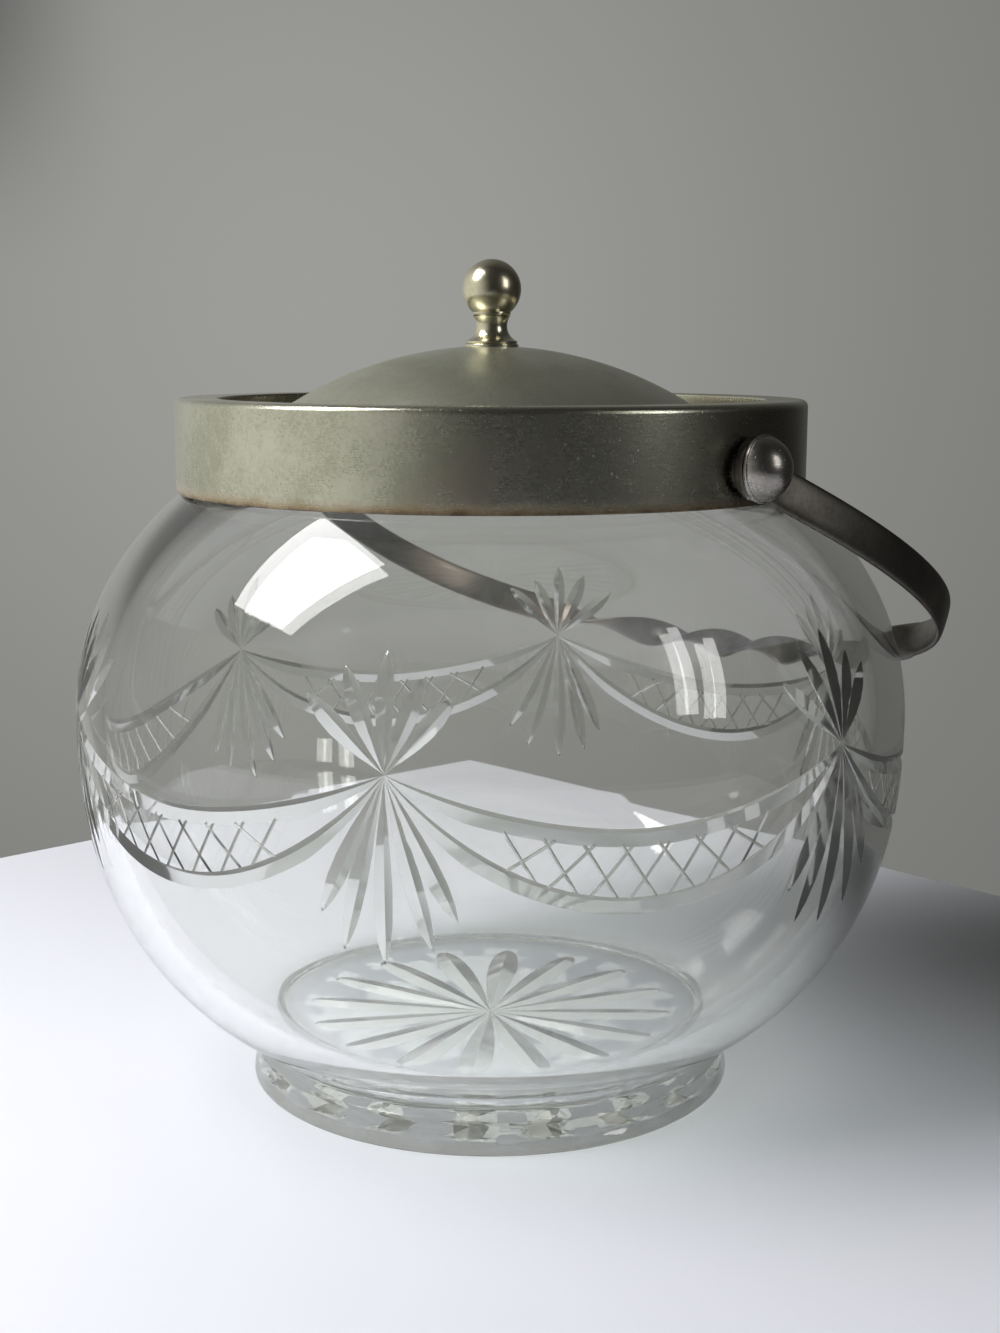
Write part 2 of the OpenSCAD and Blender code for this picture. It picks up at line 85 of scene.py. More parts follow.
# --- Table and daylight ---------------------------------------------------------------------
# A pale painted table stands in a grey room, with one of its corners behind the jar.
# Daylight comes from two windows on the left, and from two narrow panes on the right.
class Signal:
    """A node's output. Arithmetic on it adds Math nodes to the tree that it belongs to."""

    def __init__(self, recipe, socket):
        self.recipe = recipe
        self.socket = socket

    def math(self, operation, *values):
        return self.recipe.node("ShaderNodeMath", {"operation": operation}, dict(enumerate(values)))

    def __add__(self, other):
        return self.math("ADD", self, other)

    def __sub__(self, other):
        return self.math("SUBTRACT", self, other)

    def __rsub__(self, other):
        return self.math("SUBTRACT", other, self)

    def __mul__(self, other):
        return self.math("MULTIPLY", self, other)

    def __truediv__(self, other):
        return self.math("DIVIDE", self, other)

    def __rtruediv__(self, other):
        return self.math("DIVIDE", other, self)

    def __pow__(self, power):
        return self.math("POWER", self, power)

    __radd__ = __add__
    __rmul__ = __mul__

    def step(self, low, high):
        """Rises smoothly from 0 where the signal is low to 1 where it is high."""
        return self.recipe.node("ShaderNodeMapRange", {"interpolation_type": "SMOOTHSTEP"},
                                {"Value": self, "From Min": low, "From Max": high})


class Recipe:
    """The node tree of a material, a lamp or the world, written as expressions."""

    def __init__(self, tree):
        self.tree = tree
        tree.nodes.clear()

    def node(self, kind, settings=None, inputs=None, output=0):
        """Adds a node with these settings and these values or links, and gives one output."""
        made = self.tree.nodes.new(kind)
        for name, value in (settings or {}).items():
            setattr(made, name, value)
        for name, value in (inputs or {}).items():
            if isinstance(value, Signal):
                self.tree.links.new(value.socket, made.inputs[name])
            else:
                made.inputs[name].default_value = value
        return Signal(self, made.outputs[output] if made.outputs else None)

    def mix(self, factor, first, second):
        """The colour first where factor is 0, and second where it is 1."""
        return self.node("ShaderNodeMix", {"data_type": "RGBA"},
                         {0: factor, 6: first, 7: second}, 2)

    def dot(self, vector, direction):
        """How far a vector points in a direction."""
        return self.node("ShaderNodeVectorMath", {"operation": "DOT_PRODUCT"},
                         {0: vector, 1: tuple(direction)}, "Value")

    def noise(self, place, scale, detail=2.0, roughness=0.5, stretch=None):
        """Soft random values about 0.5, scale per metre, at a place that may be stretched."""
        if stretch:
            place = self.node("ShaderNodeMapping", {}, {"Vector": place, "Scale": stretch})
        return self.node("ShaderNodeTexNoise", {}, {
            "Vector": place, "Scale": scale, "Detail": detail, "Roughness": roughness})


def stage_mesh(name, points, faces):
    """A mesh that belongs to the stage and not to the jar."""
    mesh = bpy.data.meshes.new(name)
    mesh.from_pydata(points, [], faces)
    piece = bpy.data.objects.new(name, mesh)
    bpy.context.scene.collection.objects.link(piece)
    return piece


table_side = 0.65
table_thickness = 0.03
table_turn = math.radians(42.5)
far_corner = np.array((-0.008, 0.271))
to_left = -table_side * np.array((math.cos(table_turn), math.sin(table_turn)))
to_front = table_side * np.array((math.sin(table_turn), -math.cos(table_turn)))
corners = (far_corner, far_corner + to_front, far_corner + to_front + to_left, far_corner + to_left)
table = stage_mesh(
    "table",
    [seen(x, y, z) for z in (0, -table_thickness) for x, y in corners],
    [(3, 2, 1, 0), (4, 5, 6, 7), (0, 1, 5, 4), (1, 2, 6, 5), (2, 3, 7, 6), (3, 0, 4, 7)])
paint = bpy.data.materials.new("table_paint")
paint.use_nodes = True
recipe = Recipe(paint.node_tree)
place = recipe.node("ShaderNodeTexCoord", {}, {}, "Object")
# Painted shadow: the table's colour darkens towards a point to the right of and behind the jar,
# where the jar's shadow falls deepest.
painted_shadow_middle, painted_shadow_r = seen(0.15, 0.07, 0), 0.13
from_painted_shadow = recipe.node("ShaderNodeVectorMath", {"operation": "DISTANCE"},
                       {0: place, 1: tuple(painted_shadow_middle)}, "Value")
colour = recipe.mix(from_painted_shadow.step(0, painted_shadow_r), (0.16, 0.16, 0.17, 1), (0.75, 0.76, 0.82, 1))
surface = recipe.node("ShaderNodeBsdfPrincipled", {}, {
    "Base Color": colour, "Roughness": 0.35, "Specular IOR Level": 0.35})
recipe.node("ShaderNodeOutputMaterial", {}, {"Surface": surface})
table.data.materials.append(paint)

# A grey wall stands behind, lit in its middle. The camera sees that wall, also through the
# glass. The metal mirrors it darker towards the right, in a room that is bright on the left,
# where the windows are, and dark behind the viewer.
world = bpy.data.worlds.new("room")
bpy.context.scene.world = world
world.use_nodes = True
recipe = Recipe(world.node_tree)
direction = recipe.node("ShaderNodeTexCoord", {}, {}, "Generated")
to_right = recipe.dot(direction, RIGHT)
to_back = recipe.dot(direction, AWAY)
to_top = recipe.dot(direction, UP)
turn = to_right.math("ARCTAN2", to_right, to_back)
glow_turn, glow_height, glow_width = -0.10, 0.03, 0.38
glow = 1 / (1 + ((turn - glow_turn) ** 2 + (to_top - glow_height) ** 2) / glow_width ** 2)
wall_grey, wall_glow, room_grey = 0.10, 0.235, 0.03
wall = wall_grey + wall_glow * glow
corner = (0 - turn).step(0.18, 0.30) * to_top.step(0.03, 0.20)
backdrop = wall * (1 - 0.8 * corner) + 0.20 * (1 - to_back.step(0.1, 0.6))
leftward = (0 - to_right).step(0.05, 1.1) * (1 - to_top.step(0.35, 0.9))
backward = to_back.step(-0.1, 0.5) * (1 - to_right.step(0.3, 0.9))
mirrored_wall = wall * (1.35 - 0.7 * to_right.step(-0.35, 0.25))
room = room_grey + 0.75 * leftward + (mirrored_wall - room_grey) * backward * (1 - leftward)
shows_wall = recipe.node("ShaderNodeLightPath", {}, {}, "Is Camera Ray")
shows_wall = shows_wall.math("MAXIMUM", shows_wall, recipe.node(
    "ShaderNodeLightPath", {}, {}, "Transmission Depth").step(0, 1))
brightness = room + (backdrop - room) * shows_wall
sky = recipe.node("ShaderNodeBackground", {}, {
    "Color": (1.0, 1.005, 0.955, 1), "Strength": brightness})
recipe.node("ShaderNodeOutputWorld", {}, {"Surface": sky})


def lamp(name, size, centre, long_side, facing, power):
    """A flat rectangular lamp that isn't seen itself, with its longer side along long_side."""
    data = bpy.data.lights.new(name, "AREA")
    data.shape = "RECTANGLE"
    data.size, data.size_y = size
    data.energy = power
    piece = bpy.data.objects.new(name, data)
    along = long_side.normalized()
    back = -facing.normalized()
    piece.matrix_world = (Matrix.Translation(centre)
                          @ Matrix((along, back.cross(along), back)).transposed().to_4x4())
    piece.visible_camera = False
    bpy.context.scene.collection.objects.link(piece)
    return piece


lamp("window", size=(0.36, 0.215), centre=seen(-0.367, -0.079, 0.483),
     long_side=seen(-0.954, -0.301, 0), facing=-UP, power=2.53)
side_window = lamp("side_window", size=(0.5, 0.5), centre=seen(-0.863, -0.403, 0.60),
                   long_side=seen(0.423, -0.906, 0), facing=seen(0.785, 0.366, -0.5), power=10.4)
side_window.visible_glossy = False
side_window.visible_transmission = False

# Two slanting panes: each from a lower to an upper middle point, in the plane that faces the jar
pane_distance = 1.2
pane_facing = seen(0.78, -0.62, 0).normalized()
pane_across = seen(0.62, 0.78, 0).normalized()
pane_width = 0.065
pane_radiance = 7.0
panes = (((0.015, 0.27), (0.15, 0.93)), ((0.15, 0.22), (0.30, 0.76)))
for number, (bottom, top) in enumerate(panes):
    ends = [pane_facing + pane_across * side + UP * height for side, height in (bottom, top)]
    length = (ends[1] - ends[0]).length
    lamp(f"pane_{number}", (length * pane_distance, pane_width * pane_distance),
         (ends[0] + ends[1]) / 2 * pane_distance, ends[1] - ends[0], -pane_facing,
         pane_radiance * math.pi * length * pane_width * pane_distance ** 2)


# --- Glass bowl -----------------------------------------------------------------------------
# One piece of clear glass, blown round, with a thick pressed foot. Six swags of crossed lines
# hang between six fans, all cut on a wheel, and a star is cut into the underside.
def rounded(*corners, steps=6):
    """A line through corners (radius, height, fillet); a fillet is an arc tangent to both sides."""
    points = []
    for i, (r, z, fillet) in enumerate(corners):
        here = np.array((r, z), float)
        if not fillet or i in (0, len(corners) - 1):
            points.append(here)
            continue
        before = np.subtract(corners[i - 1][:2], here)
        after = np.subtract(corners[i + 1][:2], here)
        before, after = before / np.linalg.norm(before), after / np.linalg.norm(after)
        half = math.acos(np.clip(before @ after, -1, 1)) / 2
        middle = before + after
        centre = here + middle / np.linalg.norm(middle) * fillet / math.sin(half)
        start = here + before * fillet / math.tan(half) - centre
        sweep = math.pi - 2 * half
        turning = np.sign(before[1] * after[0] - before[0] * after[1])
        for a in np.linspace(0, sweep, steps + 1) * turning:
            points.append(centre + (start[0] * math.cos(a) - start[1] * math.sin(a),
                                    start[0] * math.sin(a) + start[1] * math.cos(a)))
    return np.array(points)


def arc(centre, radius, start, end, steps=12):
    """Points on a circle in the profile's plane, from one angle in degrees to another."""
    a = np.radians(np.linspace(start, end, steps + 1))
    return np.stack((centre[0] + radius * np.cos(a), centre[1] + radius * np.sin(a)), 1)


def grid_faces(rows, columns):
    """Two triangles for each cell of a grid of points, numbered row by row."""
    a = np.arange(rows - 1)[:, None] * columns + np.arange(columns - 1)
    cell = np.stack((a, a + 1, a + columns + 1, a + columns), -1).reshape(-1, 4)
    return np.concatenate((cell[:, [0, 1, 2]], cell[:, [0, 2, 3]]))


def skin(points, normals):
    """A grid of points with a normal at each: (points, triangles, a normal for each corner)."""
    rows, columns = points.shape[:2]
    faces = grid_faces(rows, columns)
    return points.reshape(-1, 3), faces, normals.reshape(-1, 3)[faces]


def lathe(*runs, columns=360):
    """Turns smooth runs of (radius, height) round the Z axis, with a sharp edge between runs.
    The material lies on the left of a run, so a normal is its direction turned to the right.
    At a point that is the direction from the point before to the point after, so that a
    straight stretch stays flat up to its fillets."""
    angle = np.linspace(0, 2 * np.pi, columns + 1)
    cos, sin = np.cos(angle), np.sin(angle)
    cos[-1], sin[-1] = cos[0], sin[0]
    patches = []
    for run in runs:
        run = np.asarray(run, float)
        run = run[np.append(True, np.abs(np.diff(run, axis=0)).sum(1) > 1e-6)]
        dr, dz = np.gradient(run, axis=0).T
        size = np.hypot(dr, dz)
        nr, nz = dz / size, -dr / size
        points = np.stack((run[:, :1] * cos, run[:, :1] * sin, run[:, 1:] + 0 * cos), -1)
        normals = np.stack((nr[:, None] * cos, nr[:, None] * sin, nz[:, None] + 0 * cos), -1)
        patches.append(skin(points, normals))
    return patches


MM = 0.001


def build(name, patches, cut=None):
    """Joins patches, in millimetres, into one mesh object with their own normals.
    Points less than a tenth of a micron apart become one, and faces without area go."""
    weld = 1e-4
    starts = np.cumsum([0] + [len(p[0]) for p in patches[:-1]])
    points = np.concatenate([p[0] for p in patches])
    faces = np.concatenate([p[1] + s for p, s in zip(patches, starts)])
    normals = np.concatenate([p[2] for p in patches])
    first, same = np.unique(np.round(points / weld), axis=0,
                            return_index=True, return_inverse=True)[1:]
    faces = same.reshape(-1)[faces]
    whole = (faces != np.roll(faces, 1, 1)).all(1)
    faces, normals, points = faces[whole], normals[whole], points[first] * MM
    mesh = bpy.data.meshes.new(name)
    mesh.vertices.add(len(points))
    mesh.vertices.foreach_set("co", points.ravel())
    mesh.loops.add(faces.size)
    mesh.loops.foreach_set("vertex_index", faces.ravel())
    mesh.polygons.add(len(faces))
    mesh.polygons.foreach_set("loop_start", np.arange(0, faces.size, 3))
    if cut is not None:
        mesh.attributes.new("cut", "FLOAT", "FACE").data.foreach_set("value", cut[whole])
    mesh.update(calc_edges=True)
    mesh.shade_smooth()
    mesh.normals_split_custom_set(normals.reshape(-1, 3))
    piece = bpy.data.objects.new(name, mesh)
    bpy.context.scene.collection.objects.link(piece)
    return piece


def fit(piece, body, finish, slot, *replaced):
    """Gives a piece its material, the body it moves with and the nodes it stands for. The slot is
    not used.
    """
    piece.data.materials.append(finish)
    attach(piece, body)
    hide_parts(*replaced)


bowl_r = 80.25
belly = 73.5
wall_thickness = 5.2
floor = 12.0
foot_r = 47.8
foot_edge = 0.8
foot_taper = 0.8
foot_top_r = foot_r - foot_taper
waist_inset = 2.9
waist_r = foot_top_r - waist_inset
waist = 8.0
neck_r = 57.4
neck_wall = 4.6
neck_in_r = neck_r - neck_wall
shoulder = 117.8
crown_power, base_power = 2.09, 2.33
crown_rise = (shoulder - belly) / (1 - (neck_r / bowl_r) ** crown_power) ** (1 / crown_power)
base_drop = (belly - waist) / (1 - (waist_r / bowl_r) ** base_power) ** (1 / base_power)

# The rim's band comes down over the neck as far as the crown lets it, and the neck ends under
# the rim's sunk ledge
collar_r = 60.3
collar_height = 17.6
sheet = 0.8
seat_depth = 4.2
skirt_gap = 0.3
ledge_gap = 0.3
skirt_r = collar_r - sheet - skirt_gap
collar_foot = belly + crown_rise * (1 - (skirt_r / bowl_r) ** crown_power) ** (1 / crown_power)
flange = collar_foot + collar_height
seat = flange - seat_depth
neck_top = seat - sheet - ledge_gap


def side(angle, rise, power, way, inset=0.0):
    """Points of the superellipse (r / bowl_r)^p + (h / rise)^p = 1, moved in square to it.
    way is 1 above the widest ring and -1 below it. Gives radius, height and the normal."""
    r = bowl_r * np.cos(angle) ** (2 / power)
    h = rise * np.sin(angle) ** (2 / power)
    nr = (r / bowl_r) ** (power - 1) / bowl_r
    nh = (h / rise) ** (power - 1) / rise
    size = np.hypot(nr, nh)
    nr, nh = nr / size, nh / size
    return np.stack((r - inset * nr, belly + way * (h - inset * nh), nr, way * nh), 1)


def angle_at(radius, power):
    return math.acos((radius / bowl_r) ** (power / 2))


# The outside, from the waist to the neck
outside = np.concatenate((
    side(np.linspace(angle_at(waist_r, base_power), 0, 800), base_drop, base_power, -1)[:-1],
    side(np.linspace(0, angle_at(neck_r, crown_power), 800), crown_rise, crown_power, 1)))


def bowl_points(azimuth, rise, depth):
    """Points of the outside at an azimuth in radians and a distance above the widest ring,
    sunk by a depth, with the outward, sideways and upward directions and the radius there. The
    distance is taken round a ball, so the height above the ring is bowl_r * sin(rise / bowl_r)."""
    height = belly + bowl_r * np.sin(rise / bowl_r)
    r, nr, nz = (np.interp(height, outside[:, 1], outside[:, k]) for k in (0, 2, 3))
    sin, cos = np.sin(azimuth), -np.cos(azimuth)
    radius, height = r - depth * nr, height - depth * nz
    flat = 0 * nz
    return (np.stack((radius * sin, radius * cos, height), -1),
            np.stack((nr * sin, nr * cos, nz), -1),
            np.stack((-cos, sin, flat), -1),
            np.stack((-nz * sin, -nz * cos, nr), -1), r)


def leaf(x, y, angle, length, half_width, root, tip, slope):
    """The two facets of a leaf-shaped cut from the origin, as depths below the surface.
    Its half-width grows as u^root from the origin and falls as (1 - u)^tip at its point."""
    peak = root / (root + tip)
    along = (x * math.sin(angle) + y * math.cos(angle)) / length
    off = x * math.cos(angle) - y * math.sin(angle)
    inside = np.clip(along, 0, 1)
    width = half_width * (inside / peak) ** root * ((1 - inside) / (1 - peak)) ** tip
    reach = np.where((along <= 0) | (along >= 1), -1.0, 0.0)
    return np.stack((reach + (width - off) * slope, reach + (width + off) * slope))


def leaf_lines(angle, length, half_width, root, tip, steps=9):
    """The two edges and the valley of a leaf-shaped cut, as lines of points."""
    peak = root / (root + tip)
    u = 0.5 - 0.5 * np.cos(np.linspace(0, np.pi, steps + 1))
    width = half_width * (u / peak) ** root * ((1 - u) / (1 - peak)) ** tip
    lines = []
    for way in (-1, 0, 1):
        lines.append(np.stack((u * length * math.sin(angle) + way * width * math.cos(angle),
                               u * length * math.cos(angle) - way * width * math.sin(angle)), 1))
    return lines


def mesh_plan(points, lines, depths):
    """Triangles in the plane over loose points and lines of points, none of which they cross.
    Gives the plan's points, its triangles and which facet each triangle lies on, or -1."""
    places, edges = [tuple(p) for p in points], []
    for line in lines:
        start = len(places)
        places += [tuple(p) for p in line]
        edges += [(i, i + 1) for i in range(start, start + len(line) - 1)]
    flat, _, faces, _, _, _ = delaunay_2d_cdt([Vector(p) for p in places], edges, [], 0, 1e-4)
    flat = np.array(flat)
    faces = np.array(faces)
    a, b, c = (flat[faces[:, k]] for k in range(3))
    area = (b[:, 0] - a[:, 0]) * (c[:, 1] - a[:, 1]) - (b[:, 1] - a[:, 1]) * (c[:, 0] - a[:, 0])
    faces[area < 0] = faces[area < 0][:, ::-1]
    middle = (a + b + c) / 3
    found = depths(middle[:, 0], middle[:, 1])
    groove = found.min(1).argmax(0)
    pick = np.arange(len(faces))
    facet = np.where(found.min(1).max(0) > 2e-3, 2 * groove + found[groove, :, pick].argmin(1), -1)
    return flat, faces, facet


def facet_slopes(depths, x, y, facet, delta=0.01):
    """How fast the depth of each triangle's own facet grows along x and along y, at its corners."""
    pick = np.arange(len(facet))
    groove, which = np.maximum(facet, 0) // 2, np.maximum(facet, 0) % 2

    def own(px, py):
        return np.stack([depths(px[:, k], py[:, k])[groove, which, pick] for k in range(3)], 1)

    cut = (facet >= 0)[:, None]
    return (np.where(cut, (own(x + delta, y) - own(x - delta, y)) / (2 * delta), 0),
            np.where(cut, (own(x, y + delta) - own(x, y - delta)) / (2 * delta), 0))


# The leaves of each fan: (angle in degrees from upright or from straight down, share of the
# longest one's length)
leaves_up = ((-49, 0.97), (-25, 0.96), (-2, 1), (21, 0.85), (42, 0.87))
leaves_down = ((-25.5, 0.82), (-13.8, 0.93), (1.7, 1), (14.8, 0.96), (25.7, 0.8))
leaf_up, leaf_down = 19.2, 32.8
fan_leaves = ([(angle, leaf_up * share) for angle, share in leaves_up]
              + [(180 + angle, leaf_down * share) for angle, share in leaves_down])
leaf_half_width = 1.65
leaf_root, leaf_tip = 1.4, 0.8
leaf_slope = math.tan(math.radians(33))
fan_height = 4.0
fan_turn = math.radians(31)
fans = 6
half_swag = math.pi / fans * bowl_r
cut_low, cut_high = -34.0, 28.0


# Each groove of a swag: (how far it hangs, the power of its curve). It is widest away from a fan.
swag_grooves = ((9.0, 1.75), (20.6, 2.05))
groove_width = 3.0
groove_grows_over, groove_growth = 13, 0.6
groove_upper_slope, groove_lower_slope = 0.80, 0.40


def swag_edges(x):
    """For each of a swag's two grooves, at x from a fan: its upper edge, its lower edge and how
    much longer the slope makes it. An edge hangs by drop * (1 - (1 - x / half_swag)^power)."""
    x = np.minimum(np.abs(x), 2 * half_swag - np.abs(x))
    to_middle = 1 - np.clip(x / half_swag, 0, 1)
    width = groove_width * np.clip(x / groove_grows_over, 0, 1) ** groove_growth
    edges = []
    for drop, power in swag_grooves:
        edge = -drop * (1 - to_middle ** power)
        steepness = np.hypot(1, drop * power * to_middle ** (power - 1) / half_swag)
        edges.append((edge, edge - width * steepness, steepness))
    return edges


# Seven slanting lines, and as many mirrored ones, cross between the grooves. Where they start
# and end: (the first line's place, the step to the next line), in degrees round the bowl
hatch_lines = 7
hatch_top = (13.4, 4.55)
hatch_bottom = (17.1, 4.85)
hatch_half_width = 0.30
hatch_slope = math.tan(math.radians(38))
hatch_overlap = 0.3
degree = math.pi / 180 * bowl_r


def hatch_ends():
    """The two ends of each crossing line, from the upper groove to the lower one."""
    ends = []
    for i in range(hatch_lines):
        top = (hatch_top[0] + hatch_top[1] * i) * degree
        bottom = (hatch_bottom[0] + hatch_bottom[1] * i) * degree
        for way in (1, -1):
            x = np.array((top, bottom))
            edges = swag_edges(x)
            y = np.array((edges[0][1][0] + hatch_overlap, edges[1][0][1] - hatch_overlap))
            ends.append(np.stack((x if way > 0 else 2 * half_swag - x, y), 1))
    return ends


def fan_depths(leaves):
    """A function that gives the depth of every facet round one fan: grooves, lines and leaves."""
    def depths(x, y):
        found = []
        near = np.abs(x)
        for top, bottom, steepness in swag_edges(near):
            found.append(np.stack(((top - y) / steepness * groove_upper_slope,
                                   (y - bottom) / steepness * groove_lower_slope)))
        for (x0, y0), (x1, y1) in hatch_ends():
            length = math.hypot(x1 - x0, y1 - y0)
            along = ((near - x0) * (x1 - x0) + (y - y0) * (y1 - y0)) / length
            off = ((near - x0) * (y1 - y0) - (y - y0) * (x1 - x0)) / length
            reach = np.where((along < 0) | (along > length), -1.0, 0.0)
            found.append(np.stack((reach + (hatch_half_width - off) * hatch_slope,
                                   reach + (hatch_half_width + off) * hatch_slope)))
        for angle, length, half_width in leaves:
            found.append(leaf(x, y, angle, length, half_width, leaf_root, leaf_tip, leaf_slope))
        return np.stack(found)
    return depths


def fan_lines(leaves):
    """The edges and valleys of all cuts from one fan to the middle of the swags beside it."""
    half = []
    x = half_swag * np.linspace(0, 1, 29) ** 1.3
    for top, bottom, _ in swag_edges(x):
        for height in (top, (2 * top + bottom) / 3, bottom):
            half.append(np.stack((x, height), 1))
    for start, end in hatch_ends():
        along = (end - start) / np.linalg.norm(end - start)
        aside = np.array((along[1], -along[0])) * hatch_half_width
        for shift in (-aside, 0 * aside, aside):
            a, b = start + shift, end + shift
            if min(a[0], b[0]) >= half_swag:
                continue
            for far, other in ((a, b), (b, a)):
                if far[0] > half_swag:
                    share = (half_swag - other[0]) / (far[0] - other[0])
                    far[:] = (half_swag, other[1] + share * (far[1] - other[1]))
            half.append(np.array((a, b)))
    mirrored = [line * (-1, 1) for line in half]
    fans_own = []
    for angle, length, half_width in leaves:
        fans_own += leaf_lines(angle, length, half_width, leaf_root, leaf_tip)
    return half + mirrored + fans_own


def fan_patch(number, leaves):
    """The glass from mid-swag to mid-swag round one fan, as a patch, and which faces are cut."""
    columns = np.linspace(-1, 1, 61) * half_swag
    rows = np.linspace(cut_low, cut_high, 27) - fan_height
    inner_columns, inner_rows = np.meshgrid(columns[2:-1:2], rows[1:-1])
    edge_rows = np.concatenate([np.stack((columns, 0 * columns + y), 1) for y in rows[[0, -1]]])
    edge_columns = np.concatenate([np.stack((0 * rows + x, rows), 1)[1:-1]
                                   for x in columns[[0, -1]]])
    inner = np.stack((inner_columns.ravel(), inner_rows.ravel()), 1)
    loose = np.concatenate((inner, edge_rows, edge_columns))
    depths = fan_depths(leaves)
    flat, faces, facet = mesh_plan(loose, fan_lines(leaves), depths)
    x, y = flat[:, 0], flat[:, 1]
    sunk = np.clip(depths(x, y).min(1).max(0), 0, None)
    azimuth = fan_turn + number * 2 * math.pi / fans + x / bowl_r
    points, out, sideways, upward, radius = bowl_points(azimuth, y + fan_height, sunk)
    dx, dy = facet_slopes(depths, x[faces], y[faces], facet)
    dx = dx * bowl_r / radius[faces]
    normals = out[faces] + dx[..., None] * sideways[faces] + dy[..., None] * upward[faces]
    normals /= np.linalg.norm(normals, axis=-1, keepdims=True)
    return (points, faces, normals), (facet >= 0).astype(float)


def belt(low, high, rows):
    """The smooth outside between two distances along it, as a patch of full turns."""
    azimuth = fan_turn + np.radians(np.arange(361) - 180.0 / fans)
    rise, azimuth = np.meshgrid(np.linspace(low, high, rows), azimuth, indexing="ij")
    points, out = bowl_points(azimuth, rise, 0.0)[:2]
    points[:, -1], out[:, -1] = points[:, 0], out[:, 0]
    return skin(points, out)


# The grinder's hand strays a little: in degrees, and in shares of the length and the width
stray_angle, stray_length, stray_width = 0.9, 0.025, 0.05
random = np.random.default_rng(7)
patches, cut = [], []
for number in range(fans):
    sway = random.normal(0, 1, (len(fan_leaves), 3)) * (number > 0)
    leaves = [(math.radians(angle + stray_angle * a), length * (1 + stray_length * b),
               leaf_half_width * (1 + stray_width * c))
              for (angle, length), (a, b, c) in zip(fan_leaves, sway)]
    patch, is_cut = fan_patch(number, leaves)
    patches.append(patch)
    cut.append(is_cut)

# The foot: twenty flat panels pressed round it, each with a rounded lower end, and a soft
# shoulder that turns in to the waist
panels = 20
panel_turn = math.radians(46)
panel_r = 47.0
panel_foot, panel_end, panel_swell = 3.2, 1.7, 0.9


def panelled(run):
    """Turns the foot's profile, pressed in to flat panels: r = min(r, plane / cos(angle)).
    Below panel_foot the plane swells out as a square, which rounds the panel's end."""
    angle = np.linspace(0, 2 * np.pi, 361)
    r, z = run[:, :1], run[:, 1:]
    off = (angle - panel_turn) % (2 * np.pi / panels) - np.pi / panels
    plane = panel_r + panel_swell * (np.clip(panel_foot - z, 0, None) / panel_end) ** 2
    radius = np.minimum(r, plane / np.cos(off))
    azimuth = fan_turn - math.pi / fans + angle
    points = np.stack((radius * np.sin(azimuth), -radius * np.cos(azimuth), z + 0 * azimuth), -1)
    points[:, -1] = points[:, 0]
    wrapped = np.concatenate((points[:, -2:-1], points, points[:, 1:2]), 1)
    round_it = wrapped[:, 2:] - wrapped[:, :-2]
    up_it = np.gradient(points, axis=0)
    normals = np.cross(round_it, up_it)
    normals /= np.linalg.norm(normals, axis=-1, keepdims=True)
    return skin(points, normals)


start_height = waist + 0.9
start_rise = bowl_r * math.asin((start_height - belly) / bowl_r)
bowl_start = (np.interp(start_height, outside[:, 1], outside[:, 0]), start_height)
foot_side = (foot_top_r + 0.2, 4.6)
foot_run = np.concatenate((
    arc((foot_r - foot_edge, foot_edge), foot_edge, -90, 0, 6),
    np.linspace((foot_r, foot_edge), foot_side, 9)[1:-1],
    rounded((*foot_side, 0), (foot_top_r, 6.3, 1.3), (waist_r + 0.3, 7.55, 0.5),
            (*bowl_start, 0), steps=5)))
inside_low = side(np.radians(np.linspace(89.9, 0, 90)),
                  base_drop, base_power, -1, wall_thickness)[:, :2]
inside_low[0, 0] = 0.0
floor_blend = 0.9
inside_low[:, 1] = (inside_low[:, 1] + floor
                    + np.hypot(inside_low[:, 1] - floor, floor_blend)) / 2
inside_low[:, 1] -= inside_low[0, 1] - floor
inside_high = side(np.linspace(0, angle_at(neck_in_r, crown_power), 60),
                   crown_rise, crown_power, 1, wall_thickness)[1:, :2]
inside_high = inside_high[inside_high[:, 0] > neck_in_r + 0.2]
mouth_start = neck_top - 0.8
inside = np.concatenate((
    inside_low, inside_high,
    rounded((*inside_high[-1], 0), (neck_in_r, shoulder + 0.5, 1.5),
            (neck_in_r, mouth_start, 0))))[::-1]
top_rise = bowl_r * math.asin((shoulder - belly) / bowl_r)
patches += [panelled(foot_run), belt(start_rise, cut_low, 12), belt(cut_high, top_rise, 12)]
patches += lathe(np.array(((neck_r, shoulder), (neck_r, mouth_start))),
                 rounded((neck_r, mouth_start, 0), (neck_r, neck_top, 0.7),
                         (neck_in_r, neck_top, 0.7), (neck_in_r, mouth_start, 0)),
                 inside)

# The star: sixteen leaves, from the middle of the underside to a ring inside the foot
star_rays = 16
star_r = 38.5
star_half_width = 3.2
star_root, star_tip = 1.0, 0.45
star_slope = math.tan(math.radians(24))
star_turn = math.radians(8)
rays = [star_turn + i * 2 * math.pi / star_rays for i in range(star_rays)]


def star_depths(x, y):
    """The depths of all the star's facets at places on the underside."""
    return np.stack([leaf(x, y, ray, star_r, star_half_width, star_root, star_tip, star_slope)
                     for ray in rays])


